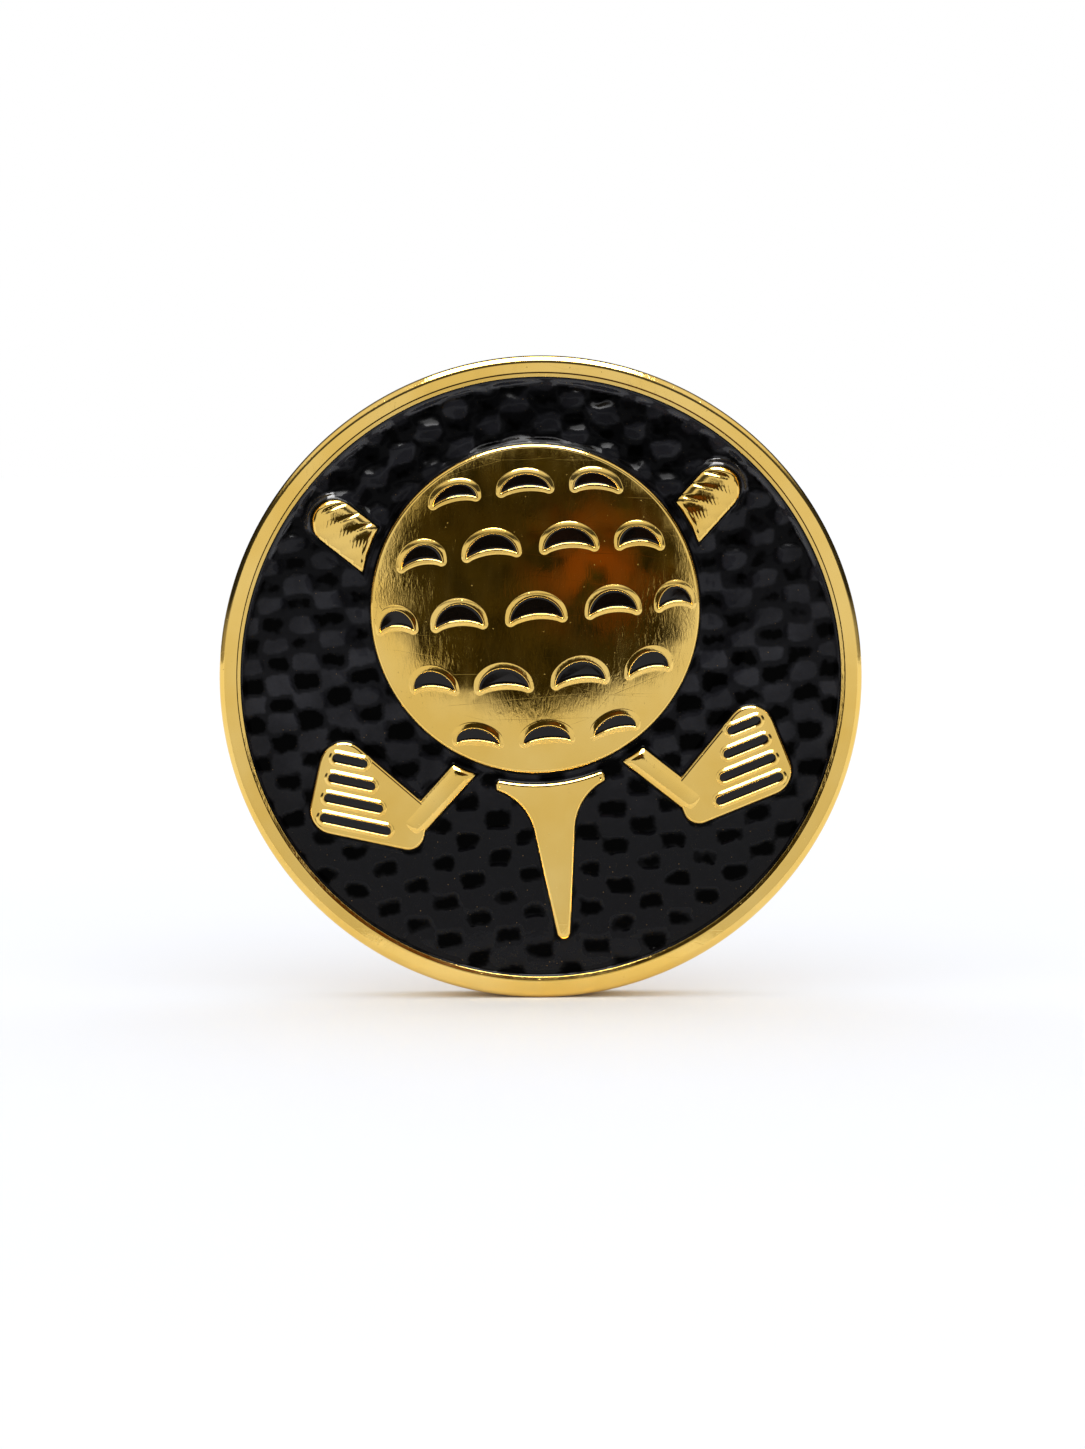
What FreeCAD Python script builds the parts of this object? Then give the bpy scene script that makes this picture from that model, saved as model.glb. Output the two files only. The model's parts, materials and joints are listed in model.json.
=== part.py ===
# Ball marker: a gold-plated coin with a struck front, filled with black enamel.
#
# One metal piece is struck with a polished rim, a sunken field, and a raised emblem of a golf
# ball on a tee in front of two crossed irons.  Enamel is poured into the field, into each dimple
# of the ball and into each score line of the irons, and every pour is a piece of its own.
#
# The coin is drawn lying on its back: u to the right, v up the face, w out of the face, from 0 at
# the back to the thickness at the rim's top.  It is then stood on its edge, with the face towards
# -Y, the contact point with the ground at the origin, and +Z up.  Lengths are in millimetres.
import FreeCAD, Part
import math
import os

# Disc
DISC_RADIUS = 16.0
DISC_THICKNESS = 3.0
EDGE_ROUND = 0.25          # rounding of the two outer edges

# Rim and sunken field of the front
RIM_WIDTH = 1.05           # from the outer wall to the enamel
RIM_BEVEL = 0.19           # how far the rim's inner side leans, measured across the face
FIELD_DEPTH = 1.1          # rim's top to the metal floor
ENAMEL_SINK = 0.55         # rim's top to the enamel's surface

# Back
BACK_RIM_WIDTH = 1.4
BACK_SINK = 0.25
BACK_BEVEL = 0.15

# Emblem heights
EMBLEM_PROUD = 0.22        # flat tops of the tee and the irons, above the enamel
BALL_CROWN = 0.24          # rise of the ball's top from its edge to its middle
LIP_PROUD = 0.08           # lips round the small pools, above the metal beside them
POOL_SINK = 0.05           # small pools, below the metal beside their lips
POOL_DEPTH = 0.5           # thickness of the enamel in the small pools

# Emblem artwork, drawn at ART_RADIUS about the disc's middle and scaled to fit the field
ART_RADIUS = 13.5
ART_MARGIN = 1.25          # real clearance between the artwork and the field's wall
ART_TURN = 5.0             # degrees, anticlockwise seen from the front
ART_GAP = 0.5              # enamel shown between neighbouring parts of the emblem

BALL_RADIUS = 8.1
BALL_CENTRE_V = 3.4

DIMPLE_ROWS = (3, 4, 5, 4, 3)
DIMPLE_EDGE = 1.75         # ball's outline to the outermost dimple centre, before it is wrapped
DIMPLE_GAP = 0.42          # metal between the lips of two neighbouring dimples
DIMPLE_WRAP = 1.12         # radians of the ball's surface from its middle to its outline
DIMPLE_HEIGHT = 0.45       # share of the dimple's width
DIMPLE_HOLLOW = 0.3        # share of the height by which the lower side bows upwards
DIMPLE_LIP = 0.28

TEE_CUP_RADIUS = 2.7
TEE_CUP_EDGE = 0.55
TEE_FLARE = 2.3
TEE_FLARE_WAIST = 0.22     # share of the cup's overhang left halfway down the flare
TEE_STEM_TOP = 1.0        # half width
TEE_STEM_TIP = 0.35        # half width
TEE_TIP_V = -12.6

IRON_LEAN = 43.0           # degrees from level to the shaft
IRON_LIE = 60.0            # degrees between the sole and the shaft
IRON_HEEL = (-7.3, -7.1)   # where the left head's shaft line meets its sole
IRON_LENGTH = 24.0
SHAFT_WIDTH = 1.25
GRIP_WIDTH = 2.3
GRIP_LENGTH = 5.2
HEAD_BACK = 0.9            # metal behind the heel point
HEAD_LENGTH = 4.9          # heel point to the toe
HEAD_TOE_HEIGHT = 4.7
HEAD_HEEL_HEIGHT = 1.5
HEAD_SOLE = 0.75           # sole, below the heel point
HEAD_ROUND = 0.8
HEAD_TOE_ROUND = 1.2

SCORE_COUNT = 4
SCORE_PITCH = 1.0
SCORE_WIDTH = 0.5
SCORE_START = 1.0          # heel point to the lowest score line's near end
SCORE_STEP = 0.6           # each line starts this much further from the heel
SCORE_TOE_GAP = 0.8        # metal between the score lines and the toe
SCORE_LIP = 0.15

# Levels worked out from the sizes above
FIELD_RADIUS = DISC_RADIUS - RIM_WIDTH
FIELD_FLOOR = DISC_THICKNESS - FIELD_DEPTH
ENAMEL_LEVEL = DISC_THICKNESS - ENAMEL_SINK
EMBLEM_LEVEL = ENAMEL_LEVEL + EMBLEM_PROUD
ART_SCALE = (FIELD_RADIUS - ART_MARGIN) / ART_RADIUS
DIMPLE_RINGS = (len(DIMPLE_ROWS) - 1) / 2
DIMPLE_PITCH = (BALL_RADIUS - DIMPLE_EDGE) / DIMPLE_RINGS
DIMPLE_WIDTH = DIMPLE_PITCH - 2 * DIMPLE_LIP - DIMPLE_GAP
OVERSHOOT = 1.0            # how far a cutting tool runs past the metal
SIDES = ("left", "right")


def point(u, v, w=0.0):
    return FreeCAD.Vector(u, v, w)


def polar(radius, degrees):
    return (radius * math.cos(math.radians(degrees)), radius * math.sin(math.radians(degrees)))


def disc(radius, low, high, centre=(0.0, 0.0)):
    return Part.makeCylinder(radius, high - low, point(centre[0], centre[1], low))


def line(a, b):
    return Part.LineSegment(point(*a), point(*b)).toShape()


def arc(a, middle, b):
    return Part.Arc(point(*a), point(*middle), point(*b)).toShape()


def prism(wire, low, high):
    solid = Part.Face(wire).extrude(point(0.0, 0.0, high - low))
    solid.translate(point(0.0, 0.0, low))
    return solid


def placed_art(outline):
    """Scales an outline drawn at ART_RADIUS to the field and gives it the emblem's turn."""
    placed = outline.copy()
    placed.scale(ART_SCALE)
    placed.rotate(point(0, 0), FreeCAD.Vector(0, 0, 1), ART_TURN)
    return placed


def rounded_outline(corners):
    """Closed wire through (u, v, radius) corners, each rounded by an arc that touches both sides."""
    edges = []
    starts = []
    ends = []
    count = len(corners)
    for index in range(count):
        here = point(corners[index][0], corners[index][1])
        before = point(*corners[index - 1][:2]).sub(here)
        after = point(*corners[(index + 1) % count][:2]).sub(here)
        half = before.getAngle(after) / 2
        radius = corners[index][2]
        reach = radius / math.tan(half)
        before.normalize()
        after.normalize()
        toward = before.add(after)
        toward.normalize()
        start = here.add(before.multiply(reach))
        end = here.add(after.multiply(reach))
        middle = here.add(toward.multiply(radius / math.sin(half) - radius))
        edges.append(Part.Arc(start, middle, end).toShape())
        starts.append(start)
        ends.append(end)
    for index in range(count):
        edges.append(Part.LineSegment(ends[index - 1], starts[index]).toShape())
    return Part.Wire(Part.sortEdges(edges)[0])


def stadium(a, b, width):
    """Closed wire round the line from a to b, with half-round ends."""
    along = point(*b).sub(point(*a))
    along.normalize()
    side = point(-along.y, along.x).multiply(width / 2)
    tip = FreeCAD.Vector(along).multiply(width / 2)
    start = point(*a)
    end = point(*b)
    edges = [
        Part.LineSegment(start.add(side), end.add(side)).toShape(),
        Part.Arc(end.add(side), end.add(tip), end.sub(side)).toShape(),
        Part.LineSegment(end.sub(side), start.sub(side)).toShape(),
        Part.Arc(start.sub(side), start.sub(tip), start.add(side)).toShape(),
    ]
    return Part.Wire(edges)


# Ball and dimples

def ball_circle(clearance):
    circle = Part.Circle(point(0.0, BALL_CENTRE_V), FreeCAD.Vector(0, 0, 1), BALL_RADIUS + clearance)
    return placed_art(Part.Wire(circle.toShape()))


def crown(rise):
    """The ball's crowned solid on the field's floor, with its top shifted by rise."""
    radius = BALL_RADIUS * ART_SCALE
    sphere_radius = (radius ** 2 + BALL_CROWN ** 2) / (2 * BALL_CROWN)
    outline = ball_circle(0.0)
    middle = Part.Face(outline).CenterOfMass
    top = EMBLEM_LEVEL + BALL_CROWN + rise
    sphere = Part.makeSphere(sphere_radius, point(middle.x, middle.y, top - sphere_radius))
    return prism(outline, FIELD_FLOOR, top + OVERSHOOT).common(sphere)


def wrapped(u, v):
    """Artwork point of the flat dimple pattern, wrapped on the ball and seen from the front."""
    reach = math.hypot(u, v)
    if reach == 0.0:
        return (0.0, BALL_CENTRE_V)
    shrink = BALL_RADIUS * math.sin(reach / BALL_RADIUS * DIMPLE_WRAP) / (reach * math.sin(DIMPLE_WRAP))
    return (u * shrink, BALL_CENTRE_V + v * shrink)


def dimple_centres():
    centres = []
    for row, count in enumerate(DIMPLE_ROWS):
        v = (DIMPLE_RINGS - row) * DIMPLE_PITCH * math.sin(math.radians(60))
        for column in range(count):
            centres.append(((column - (count - 1) / 2) * DIMPLE_PITCH, v))
    return centres


def dimple_outline(u, v):
    """Crescent with its round side up: an upper arc and a lower side that bows upwards."""
    half = DIMPLE_WIDTH / 2
    height = DIMPLE_WIDTH * DIMPLE_HEIGHT
    low = v - height / 2
    left = wrapped(u - half, low)
    right = wrapped(u + half, low)
    upper = arc(left, wrapped(u, low + height), right)
    lower = arc(right, wrapped(u, low + height * DIMPLE_HOLLOW), left)
    return placed_art(Part.Wire([upper, lower]))


# Tee and irons

def tee_outline():
    gap_radius = BALL_RADIUS + ART_GAP
    spread = math.degrees(math.asin(TEE_CUP_RADIUS / gap_radius))
    cup_v = BALL_CENTRE_V + polar(gap_radius, -90 + spread)[1]
    edge_v = cup_v - TEE_CUP_EDGE
    stem_v = edge_v - TEE_FLARE
    flare_u = TEE_STEM_TOP + (TEE_CUP_RADIUS - TEE_STEM_TOP) * TEE_FLARE_WAIST
    flare_v = edge_v - TEE_FLARE / 2
    edges = [
        arc((-TEE_CUP_RADIUS, cup_v), (0.0, BALL_CENTRE_V - gap_radius), (TEE_CUP_RADIUS, cup_v)),
        line((TEE_CUP_RADIUS, cup_v), (TEE_CUP_RADIUS, edge_v)),
        arc((TEE_CUP_RADIUS, edge_v), (flare_u, flare_v), (TEE_STEM_TOP, stem_v)),
        line((TEE_STEM_TOP, stem_v), (TEE_STEM_TIP, TEE_TIP_V)),
        arc((TEE_STEM_TIP, TEE_TIP_V), (0.0, TEE_TIP_V - TEE_STEM_TIP), (-TEE_STEM_TIP, TEE_TIP_V)),
        line((-TEE_STEM_TIP, TEE_TIP_V), (-TEE_STEM_TOP, stem_v)),
        arc((-TEE_STEM_TOP, stem_v), (-flare_u, flare_v), (-TEE_CUP_RADIUS, edge_v)),
        line((-TEE_CUP_RADIUS, edge_v), (-TEE_CUP_RADIUS, cup_v)),
    ]
    return placed_art(Part.Wire(edges))


def head_point(toward_toe, up):
    """Artwork point on the left iron's head, measured from its heel point along the sole."""
    toe = polar(toward_toe, IRON_LEAN + 180 - IRON_LIE)
    rise = polar(up, IRON_LEAN + 90 - IRON_LIE)
    return (IRON_HEEL[0] + toe[0] + rise[0], IRON_HEEL[1] + toe[1] + rise[1])


def shaft_point(distance):
    along = polar(distance, IRON_LEAN)
    return (IRON_HEEL[0] + along[0], IRON_HEEL[1] + along[1])


def head_outline():
    corners = [
        (-HEAD_BACK, -HEAD_SOLE, HEAD_ROUND),
        (HEAD_LENGTH, -HEAD_SOLE, HEAD_TOE_ROUND),
        (HEAD_LENGTH, HEAD_TOE_HEIGHT, HEAD_TOE_ROUND),
        (-HEAD_BACK, HEAD_HEEL_HEIGHT, HEAD_ROUND),
    ]
    return rounded_outline([head_point(toe, up) + (radius,) for toe, up, radius in corners])


def iron_outlines():
    shaft = stadium(shaft_point(0.0), shaft_point(IRON_LENGTH - GRIP_LENGTH / 2), SHAFT_WIDTH)
    grip_start = shaft_point(IRON_LENGTH - GRIP_LENGTH + GRIP_WIDTH / 2)
    grip_end = shaft_point(IRON_LENGTH - GRIP_WIDTH / 2)
    return [head_outline(), shaft, stadium(grip_start, grip_end, GRIP_WIDTH)]


def score_outlines():
    outlines = []
    for index in range(SCORE_COUNT):
        up = index * SCORE_PITCH
        near = head_point(SCORE_START + index * SCORE_STEP, up)
        far = head_point(HEAD_LENGTH - SCORE_TOE_GAP, up)
        outlines.append(stadium(near, far, SCORE_WIDTH))
    return outlines


def on_side(outlines, side):
    if side == "right":
        outlines = [outline.mirror(point(0, 0), FreeCAD.Vector(1, 0, 0)) for outline in outlines]
    return [placed_art(outline) for outline in outlines]


# The struck metal

def blank():
    coin = disc(DISC_RADIUS, 0.0, DISC_THICKNESS)
    outer = [edge for edge in coin.Edges if isinstance(edge.Curve, Part.Circle)]
    return coin.makeFillet(EDGE_ROUND, outer)


def front_recess():
    field = disc(FIELD_RADIUS, FIELD_FLOOR, ENAMEL_LEVEL)
    bevel = Part.makeCone(FIELD_RADIUS, FIELD_RADIUS + RIM_BEVEL, ENAMEL_SINK, point(0, 0, ENAMEL_LEVEL))
    return field.fuse(bevel)


def back_recess():
    radius = DISC_RADIUS - BACK_RIM_WIDTH
    return Part.makeCone(radius + BACK_BEVEL, radius, BACK_SINK)


def irons():
    pieces = []
    for side in SIDES:
        for outline in on_side(iron_outlines(), side):
            pieces.append(prism(outline, FIELD_FLOOR, EMBLEM_LEVEL))
    behind_ball = prism(ball_circle(ART_GAP), FIELD_FLOOR, EMBLEM_LEVEL)
    return [piece.cut(behind_ball) for piece in pieces]


def lips(outlines, width, top):
    """Walls of the given width round the outlines, up to the top of the solid called top."""
    wider = [outline.makeOffset2D(width * ART_SCALE) for outline in outlines]
    return [prism(outline, FIELD_FLOOR, DISC_THICKNESS).common(top) for outline in wider]


def flat_top(rise):
    return disc(FIELD_RADIUS, FIELD_FLOOR, EMBLEM_LEVEL + rise)


def pools(outlines, top):
    """Enamel in the outlines, from the pools' floor to the top of the solid called top."""
    floor = EMBLEM_LEVEL - POOL_DEPTH
    return [prism(outline, floor, DISC_THICKNESS).common(top) for outline in outlines]


def raised_emblem(dimples, scores):
    """Every solid that stands on the field's floor, before the small pools are cut into it."""
    raised = irons() + [prism(tee_outline(), FIELD_FLOOR, EMBLEM_LEVEL), crown(0.0)]
    raised += lips(dimples, DIMPLE_LIP, crown(LIP_PROUD))
    raised += lips(scores, SCORE_LIP, flat_top(LIP_PROUD))
    return raised


def struck_body(raised, outlines):
    metal = blank().cut(front_recess()).cut(back_recess()).multiFuse(raised)
    floor = EMBLEM_LEVEL - POOL_DEPTH
    cuts = [prism(outline, floor, DISC_THICKNESS + OVERSHOOT) for outline in outlines]
    return metal.cut(cuts[0].multiFuse(cuts[1:]))


def field_enamel(raised):
    pour = disc(FIELD_RADIUS, FIELD_FLOOR, ENAMEL_LEVEL)
    return pour.cut(raised[0].multiFuse(raised[1:]))


def stood_up(shape):
    """Turns the coin from lying on its back to standing on its edge, face towards -Y."""
    standing = shape.copy()
    standing.rotate(point(0, 0), FreeCAD.Vector(1, 0, 0), 90)
    standing.translate(FreeCAD.Vector(0, DISC_THICKNESS / 2, DISC_RADIUS))
    return standing


def build():
    dimples = [dimple_outline(u, v) for u, v in dimple_centres()]
    scores = {side: on_side(score_outlines(), side) for side in SIDES}
    raised = raised_emblem(dimples, scores["left"] + scores["right"])
    body = struck_body(raised, dimples + scores["left"] + scores["right"])
    nodes = {"struck_body": body, "field_enamel": field_enamel(raised)}
    for index, pool in enumerate(pools(dimples, crown(-POOL_SINK))):
        nodes["dimple_enamel_%02d" % (index + 1)] = pool
    for side in SIDES:
        for index, pool in enumerate(pools(scores[side], flat_top(-POOL_SINK))):
            nodes["score_enamel_%s_%d" % (side, index + 1)] = pool
    return nodes


def main():
    os.makedirs("parts", exist_ok=True)
    for name, shape in build().items():
        if not shape.isValid():
            raise ValueError("%s is not a valid solid" % name)
        stood_up(shape).exportStep("parts/%s.step" % name)
        print("%-24s %d solid(s) %10.3f mm3" % (name, len(shape.Solids), shape.Volume))


main()
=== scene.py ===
import json
import math
from functools import partial

import bmesh
import bpy
import numpy as np
from mathutils import Matrix, Vector
from mathutils.geometry import delaunay_2d_cdt
from mathutils.kdtree import KDTree

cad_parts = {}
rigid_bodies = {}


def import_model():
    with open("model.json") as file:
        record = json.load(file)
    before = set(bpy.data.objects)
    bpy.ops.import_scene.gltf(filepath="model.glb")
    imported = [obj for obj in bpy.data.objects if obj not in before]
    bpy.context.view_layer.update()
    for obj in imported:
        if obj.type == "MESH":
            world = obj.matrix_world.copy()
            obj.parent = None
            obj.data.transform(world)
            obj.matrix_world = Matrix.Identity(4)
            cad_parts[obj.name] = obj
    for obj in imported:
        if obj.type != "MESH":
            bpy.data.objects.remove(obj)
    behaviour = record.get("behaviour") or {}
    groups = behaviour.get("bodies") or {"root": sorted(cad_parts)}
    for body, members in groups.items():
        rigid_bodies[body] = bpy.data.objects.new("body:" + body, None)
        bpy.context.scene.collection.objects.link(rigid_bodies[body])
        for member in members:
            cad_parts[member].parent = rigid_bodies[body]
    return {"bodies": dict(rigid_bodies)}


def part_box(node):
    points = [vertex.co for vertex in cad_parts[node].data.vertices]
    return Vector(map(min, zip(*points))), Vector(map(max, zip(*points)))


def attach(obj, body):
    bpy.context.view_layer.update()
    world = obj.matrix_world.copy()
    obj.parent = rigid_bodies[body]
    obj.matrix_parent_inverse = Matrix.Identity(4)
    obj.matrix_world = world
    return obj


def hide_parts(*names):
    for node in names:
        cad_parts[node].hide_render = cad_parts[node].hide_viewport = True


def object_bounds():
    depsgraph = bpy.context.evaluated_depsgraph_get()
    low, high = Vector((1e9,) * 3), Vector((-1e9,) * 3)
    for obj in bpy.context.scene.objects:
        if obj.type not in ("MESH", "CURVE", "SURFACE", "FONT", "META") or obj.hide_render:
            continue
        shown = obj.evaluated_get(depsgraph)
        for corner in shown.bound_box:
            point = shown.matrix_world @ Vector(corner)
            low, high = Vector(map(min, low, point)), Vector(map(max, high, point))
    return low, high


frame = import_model()
cadLow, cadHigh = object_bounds()
coinBody = list(frame["bodies"])[0]
mm = 0.001

# The coin is built lying on its back, in millimetres: u right, v up the face, w out of the face.
# toFrame stands it up where the frame has it.
fieldLow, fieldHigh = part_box("field_enamel")
coin = {
    "radius": (cadHigh.x - cadLow.x) / 2 / mm,
    "thickness": (cadHigh.y - cadLow.y) / mm,
    "fieldRadius": (fieldHigh.x - fieldLow.x) / 2 / mm,
    "fieldFloor": (cadHigh.y - fieldHigh.y) / mm,
    "enamelLevel": (cadHigh.y - fieldLow.y) / mm,
    "plateProud": 0.22,      # flat tops of the tee and the irons above the enamel
    "artRadius": 13.5,       # the artwork is drawn at this radius
    "artMargin": 1.25,
    "artTurn": 5.0,
    "artGap": 0.5,
}
plateLevel = coin["enamelLevel"] + coin["plateProud"]
artScale = (coin["fieldRadius"] - coin["artMargin"]) / coin["artRadius"]
toFrame = (
    Matrix.Translation((0, cadHigh.y, (cadLow.z + cadHigh.z) / 2))
    @ Matrix.Rotation(math.radians(90), 4, "X")
    @ Matrix.Scale(mm, 4)
)
# How finely the meshes are drawn. Lengths are in millimetres.
fine = {"outline": 0.2, "support": 0.03, "edgeSteps": 8, "ballNet": 0.45, "netRow": 0.866, "netClear": 0.6,
        "weld": 1e-4, "merge": 1e-5, "sharpest": 0.6, "pocketInset": 0.02}


def placeArt(points):
    turn = math.radians(coin["artTurn"])
    spin = np.array([[math.cos(turn), math.sin(turn)], [-math.sin(turn), math.cos(turn)]])
    return np.asarray(points, float) @ spin * artScale


def polar(length, degrees):
    return np.array([math.cos(math.radians(degrees)), math.sin(math.radians(degrees))]) * length


def circle(radius, count, centre=(0.0, 0.0)):
    angles = np.arange(count) * 2 * math.pi / count
    return np.stack([centre[0] + radius * np.cos(angles), centre[1] + radius * np.sin(angles)], 1)


def arcThrough(start, middle, end, count):
    a, m, b = (complex(*p) for p in (start, middle, end))
    w = (b - a) / (m - a)
    centre = a - (a - m) * (w - abs(w) ** 2) / (2j * w.imag)
    first = np.angle(a - centre)
    sweep = np.angle((b - centre) / (a - centre))
    half = np.angle((m - centre) / (a - centre))
    if sweep * half < 0 or abs(half) > abs(sweep):
        sweep -= math.copysign(2 * math.pi, sweep)
    points = centre + abs(a - centre) * np.exp(1j * (first + sweep * np.linspace(0, 1, count)))
    return np.stack([points.real, points.imag], 1)


# Corners are (u, v, radius), and a radius of 0 keeps the point. With support, a point more stands
# just before and after each arc.
def roundCorners(corners, steps, support=0.0):
    points = []
    for index, (*spot, radius) in enumerate(corners):
        here = np.array(spot, float)
        if radius == 0:
            points.append(here)
            continue
        before = np.array(corners[index - 1][:2], float) - here
        after = np.array(corners[(index + 1) % len(corners)][:2], float) - here
        before /= np.linalg.norm(before)
        after /= np.linalg.norm(after)
        half = math.acos(np.clip(before @ after, -1, 1)) / 2
        reach = radius / math.tan(half)
        toward = (before + after) / np.linalg.norm(before + after)
        middle = here + toward * (radius / math.sin(half) - radius)
        arc = arcThrough(here + before * reach, middle, here + after * reach, steps)
        if support:
            arc = [here + before * (reach + support), *arc, here + after * (reach + support)]
        points += list(arc)
    return np.array(points)


def resample(points, spacing=fine["outline"]):
    dense = []
    for start, end in zip(points, np.roll(points, -1, 0)):
        pieces = max(1, math.ceil(np.linalg.norm(end - start) / spacing))
        dense += [start + (end - start) * step / pieces for step in range(pieces)]
    dense = np.array(dense)
    return dense[np.linalg.norm(dense - np.roll(dense, 1, 0), axis=1) > fine["weld"]]


def counterClockwise(points):
    following = np.roll(points, -1, 0)
    area = np.sum(points[:, 0] * following[:, 1] - points[:, 1] * following[:, 0])
    return points if area > 0 else points[::-1].copy()


def offset(points, distance):
    edges = np.roll(points, -1, 0) - points
    edges /= np.linalg.norm(edges, axis=1, keepdims=True)
    normals = np.stack([edges[:, 1], -edges[:, 0]], 1)
    mean = normals + np.roll(normals, 1, 0)
    mean /= np.linalg.norm(mean, axis=1, keepdims=True)
    stretch = 1 / np.clip(np.sum(mean * normals, 1), fine["sharpest"], 1)
    return points + mean * stretch[:, None] * np.reshape(distance, (-1, 1))


def isInside(polygon, points):
    inside = np.zeros(len(points), bool)
    for (x0, y0), (x1, y1) in zip(polygon, np.roll(polygon, -1, 0)):
        crosses = (y0 > points[:, 1]) != (y1 > points[:, 1])
        meets = (x1 - x0) * (points[:, 1] - y0) / ((y1 - y0) if y1 != y0 else 1e-12) + x0
        inside ^= crosses & (points[:, 0] < meets)
    return inside


def isBetween(outer, holes, points):
    between = isInside(outer, points)
    for hole in holes:
        between &= ~isInside(hole, points)
    return between


# Two outlines that cross twice become one.
def joinOutlines(first, second):
    runs = []
    for own, other in ((first, second), (second, first)):
        hidden = isInside(other, own)
        start = np.flatnonzero(hidden & ~np.roll(hidden, -1))[0] + 1
        runs.append(np.roll(own, -start, 0)[~np.roll(hidden, -start)])
    return np.vstack(runs)


def searchTree(points):
    tree = KDTree(len(points))
    for index, (u, v) in enumerate(points):
        tree.insert((u, v, 0), index)
    tree.balance()
    return tree


def ringFaces(first, second, count):
    around = [(k, (k + 1) % count) for k in range(count)]
    return [(first + k, first + following, second + following, second + k) for k, following in around]


# Turns an open profile of (radius, level) about the axis. Its ends lie on the axis.
def lathe(profile, segments):
    verts = []
    faces = []
    starts = []
    for radius, level in profile:
        starts.append(len(verts))
        ring = circle(radius, segments if radius else 1)
        verts += [(u, v, level) for u, v in ring]
    for here, there in zip(starts[1:-2], starts[2:-1]):
        faces += ringFaces(here, there, segments)
    for k in range(segments):
        following = (k + 1) % segments
        faces.append((starts[0], starts[1] + k, starts[1] + following))
        faces.append((starts[-1], starts[-2] + following, starts[-2] + k))
    return verts, faces


# Fills between an outer loop and the loops of its holes, each given as (number of its first vertex,
# its points), with an even net of new points unless the spacing is 0.
def fillLoops(verts, faces, loops, topAt, spacing):
    outer, *holes = [ring for _, ring in loops]
    points = np.vstack([outer, *holes])
    numbers = []
    edges = []
    for start, ring in loops:
        first = len(numbers)
        edges += [(first + k, first + (k + 1) % len(ring)) for k in range(len(ring))]
        numbers += range(start, start + len(ring))
    known = searchTree(points)
    if spacing:
        low, high = outer.min(0), outer.max(0)
        net = []
        for row, v in enumerate(np.arange(low[1], high[1], spacing * fine["netRow"])):
            net += [(u + spacing / 2 * (row % 2), v) for u in np.arange(low[0], high[0], spacing)]
        free = isBetween(outer, holes, np.array(net))
        clear = spacing * fine["netClear"]
        net = [p for p, isFree in zip(net, free) if isFree and known.find((*p, 0))[2] > clear]
        points = np.vstack([points, net])
    result = delaunay_2d_cdt([Vector(p) for p in points], edges, [], 1, 1e-6)
    flat = np.array([tuple(p) for p in result[0]])
    triangles = np.array(result[2])
    triangles = triangles[isBetween(outer, holes, flat[triangles].mean(1))]
    place = []
    for (u, v), w in zip(flat, np.broadcast_to(topAt(flat), len(flat))):
        _, index, gap = known.find((u, v, 0))
        if gap > fine["weld"]:
            place.append(len(verts))
            verts.append((u, v, w))
        else:
            place.append(numbers[index])
    faces += [tuple(place[k] for k in t) for t in triangles if len({place[k] for k in t}) == 3]


def addRing(verts, ring, levels):
    verts.extend((u, v, w) for (u, v), w in zip(ring, np.broadcast_to(levels, len(ring))))
    return len(verts) - len(ring)


# A raised plate on the field's floor: wall, rounded edge, top, and a lipped pocket for each pool.
def struckPlate(outline, topAt, edgeRound, pools=(), spacing=0.0):
    verts = []
    faces = []
    count = len(outline)
    last = addRing(verts, outline, coin["fieldFloor"])
    faces.append(tuple(range(last + count - 1, last - 1, -1)))
    for angle in np.linspace(0, math.pi / 2, fine["edgeSteps"] + 1):
        ring = offset(outline, -edgeRound * (1 - math.cos(angle)))
        here = addRing(verts, ring, topAt(ring) - edgeRound * (1 - math.sin(angle)))
        faces += ringFaces(last, here, count)
        last = here
    inner = offset(outline, -edgeRound - fine["support"])
    loops = [(addRing(verts, inner, topAt(inner)), inner)]
    faces += ringFaces(last, loops[0][0], count)
    for pool in pools:
        pocket = pool["outline"]
        for index, (out, rise) in enumerate(lipSection):
            ring = offset(pocket, out * (pool["width"] if out > 0 else pool["inner"]))
            here = addRing(verts, ring, topAt(ring) + rise)
            if index:
                faces += ringFaces(last, here, len(pocket))
            else:
                loops.append((here, ring))
            last = here
        floor = addRing(verts, offset(pocket, -fine["pocketInset"]), plateLevel - pool["depth"])
        faces += ringFaces(last, floor, len(pocket))
        faces.append(tuple(range(floor, floor + len(pocket))))
    fillLoops(verts, faces, loops, topAt, spacing)
    return verts, faces, 0


def addObject(name, data):
    thing = bpy.data.objects.new(name, data)
    bpy.context.scene.collection.objects.link(thing)
    return thing


def smoothMesh(name, verts, faces=()):
    made = bpy.data.meshes.new(name)
    made.from_pydata(verts, [], faces)
    made.polygons.foreach_set("use_smooth", [True] * len(faces))
    return made


def faceOutward(shape, merge=0):
    shell = bmesh.new()
    shell.from_mesh(shape)
    if merge:
        bmesh.ops.remove_doubles(shell, verts=shell.verts, dist=merge)
    bmesh.ops.recalc_face_normals(shell, faces=shell.faces)
    shell.to_mesh(shape)
    shell.free()


# Joins parts, each given as (vertices, faces, number of its material or a list of them).
def makePiece(name, parts, materials, nodes):
    verts = []
    faces = []
    looks = []
    for partVerts, partFaces, look in parts:
        start = len(verts)
        verts += partVerts
        faces += [tuple(start + k for k in face) for face in partFaces]
        looks += [look] * len(partFaces) if isinstance(look, int) else look
    shape = smoothMesh(name, verts, faces)
    shape.polygons.foreach_set("material_index", looks)
    for material in materials:
        shape.materials.append(material)
    faceOutward(shape)
    finishPiece(name, shape, nodes)


def finishPiece(name, shape, nodes):
    shape.transform(toFrame)
    shape.update()
    piece = addObject(name, shape)
    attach(piece, coinBody)
    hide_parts(*nodes)


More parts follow.
